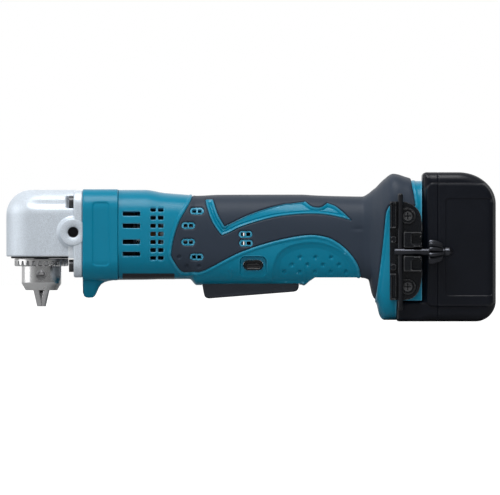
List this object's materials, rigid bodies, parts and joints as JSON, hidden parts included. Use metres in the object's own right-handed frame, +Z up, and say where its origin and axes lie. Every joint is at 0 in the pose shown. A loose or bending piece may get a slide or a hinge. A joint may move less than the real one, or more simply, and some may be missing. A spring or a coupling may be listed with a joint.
{
  "type": "right angle drill",
  "caption": "Cordless right angle drill: keyed jaw chuck under a cast angle head, moulded motor housing with a paddle switch, slide-on battery and a chuck key clipped to its side.",
  "frame": {"origin": "tip plane of the closed chuck jaws, on the spindle axis", "axes": "+X runs back from the spindle along the motor axis to the battery, +Z runs up the spindle away from the bit, -Y is the side that carries the chuck key"},
  "size_m": [0.3128, 0.0902, 0.0952],
  "materials": {
    "teal_plastic": "moulded, satin",
    "dark_plastic": "moulded, satin",
    "battery_plastic": "fine moulded grain",
    "soft_grip": "soft-touch moulded cover",
    "holder_rubber": "moulded rubber",
    "seal_rubber": "moulded rubber",
    "cast_alloy": "painted die casting",
    "steel": "machined",
    "dark_steel": "blackened",
    "chuck_chrome": "bright machined",
    "copper": "copper",
    "ferrite": "fired ferrite",
    "carbon": "pressed carbon",
    "cell_can": "can in a shrink sleeve",
    "lens": "clear"
  },
  "bodies": {
    "body": {"angle_head": "cast_alloy", "flange_screws": "steel", "dust_ring": "seal_rubber", "spindle_top_bearing": "steel", "spindle_needle_bearing": "steel", "pinion_bearing": "steel", "ring_gear": "steel", "gearbox_plate": "cast_alloy", "motor_front_bearing": "steel", "motor_rear_bearing": "steel", "motor_yoke": "steel", "magnets": "ferrite", "brush_plate": "dark_plastic", "carbon_brushes": "carbon", "switch_body": "dark_plastic", "trigger_pin": "steel", "front_cover": "teal_plastic", "lamp_lens": "lens", "housing_left": "teal_plastic", "housing_right": "teal_plastic", "grip_left": "soft_grip", "grip_right": "soft_grip", "housing_screws": "dark_steel", "terminal_block": "dark_plastic", "key_holder": "holder_rubber", "holder_screws": "dark_steel"},
    "spindle": {"spindle": "steel", "crown_gear": "steel", "chuck_body": "chuck_chrome", "chuck_screw": "dark_steel"},
    "sleeve": {"chuck_sleeve": "chuck_chrome", "chuck_nut": "steel"},
    "jaw_1": {"chuck_jaw_1": "chuck_chrome"},
    "jaw_2": {"chuck_jaw_2": "chuck_chrome"},
    "jaw_3": {"chuck_jaw_3": "chuck_chrome"},
    "carrier": {"pinion_shaft": "steel", "planet_carrier": "steel", "planet_pins": "steel"},
    "planet_1": {"planet_gear_1": "steel"},
    "planet_2": {"planet_gear_2": "steel"},
    "planet_3": {"planet_gear_3": "steel"},
    "armature": {"armature": "steel", "sun_gear": "steel", "windings": "copper", "commutator": "copper", "fan": "dark_plastic"},
    "trigger": {"trigger": "dark_plastic"},
    "plunger": {"switch_plunger": "steel"},
    "direction_bar": {"direction_bar": "dark_plastic"},
    "key": {"chuck_key": "dark_steel", "key_bar": "dark_steel"},
    "battery": {"battery_lower_case": "battery_plastic", "battery_upper_case": "battery_plastic", "battery_cells": "cell_can", "battery_contacts": "copper", "battery_screws": "dark_steel"},
    "release": {"release_button": "dark_plastic"}
  },
  "joints": [
    {"name": "spindle_spin", "type": "hinge", "parent": "body", "child": "spindle", "pos_m": [0, 0, 0], "axis": [0, 0, 1], "continuous": true},
    {"name": "carrier_spin", "type": "hinge", "parent": "body", "child": "carrier", "pos_m": [0.0273, 0, 0.0463], "axis": [1, 0, 0], "continuous": true},
    {"name": "armature_spin", "type": "hinge", "parent": "body", "child": "armature", "pos_m": [0.094, 0, 0.0463], "axis": [1, 0, 0], "continuous": true},
    {"name": "planet_spin_1", "type": "hinge", "parent": "carrier", "child": "planet_1", "pos_m": [0.0357, 0, 0.0355], "axis": [1, 0, 0], "continuous": true},
    {"name": "planet_spin_2", "type": "hinge", "parent": "carrier", "child": "planet_2", "pos_m": [0.0357, 0.00935, 0.0517], "axis": [1, 0, 0], "continuous": true},
    {"name": "planet_spin_3", "type": "hinge", "parent": "carrier", "child": "planet_3", "pos_m": [0.0357, -0.00935, 0.0517], "axis": [1, 0, 0], "continuous": true},
    {"name": "sleeve_turn", "type": "hinge", "parent": "spindle", "child": "sleeve", "pos_m": [0, 0, 0.028], "axis": [0, 0, 1], "range_deg": [0, 3690]},
    {"name": "jaw_slide_1", "type": "slide", "parent": "spindle", "child": "jaw_1", "axis": [0, 0.2588, 0.9659], "range_m": [0, 0.01642]},
    {"name": "jaw_slide_2", "type": "slide", "parent": "spindle", "child": "jaw_2", "axis": [-0.2241, -0.1294, 0.9659], "range_m": [0, 0.01642]},
    {"name": "jaw_slide_3", "type": "slide", "parent": "spindle", "child": "jaw_3", "axis": [0.2241, -0.1294, 0.9659], "range_m": [0, 0.01642]},
    {"name": "trigger_press", "type": "hinge", "parent": "body", "child": "trigger", "pos_m": [0.16185, 0, 0.0158], "axis": [0, 1, 0], "range_deg": [0, 5.5], "stiffness_Nm_per_rad": 1.5, "springref_deg": -5.73},
    {"name": "plunger_push", "type": "slide", "parent": "body", "child": "plunger", "axis": [0, 0, 1], "range_m": [0, 0.0016]},
    {"name": "direction_push", "type": "slide", "parent": "body", "child": "direction_bar", "axis": [0, 1, 0], "range_m": [-0.003, 0.003]},
    {"name": "key_pull", "type": "slide", "parent": "body", "child": "key", "axis": [0, -1, 0], "range_m": [0, 0.05]},
    {"name": "battery_slide", "type": "slide", "parent": "body", "child": "battery", "axis": [0, 0, -1], "range_m": [0, 0.08]},
    {"name": "release_press", "type": "slide", "parent": "battery", "child": "release", "axis": [1, 0, 0], "range_m": [0, 0.003], "stiffness_N_per_m": 900, "springref_m": -0.004}
  ],
  "couplings": [
    {"joint": "carrier_spin", "follows": "spindle_spin", "ratio": -2.4},
    {"joint": "armature_spin", "follows": "spindle_spin", "ratio": -10.8},
    {"joint": "planet_spin_1", "follows": "spindle_spin", "ratio": 6.72},
    {"joint": "planet_spin_2", "follows": "spindle_spin", "ratio": 6.72},
    {"joint": "planet_spin_3", "follows": "spindle_spin", "ratio": 6.72},
    {"joint": "jaw_slide_1", "follows": "sleeve_turn", "m_per_rad": 0.00025465},
    {"joint": "jaw_slide_2", "follows": "sleeve_turn", "m_per_rad": 0.00025465},
    {"joint": "jaw_slide_3", "follows": "sleeve_turn", "m_per_rad": 0.00025465},
    {"joint": "plunger_push", "follows": "trigger_press", "m_per_rad": 0.0161}
  ]
}
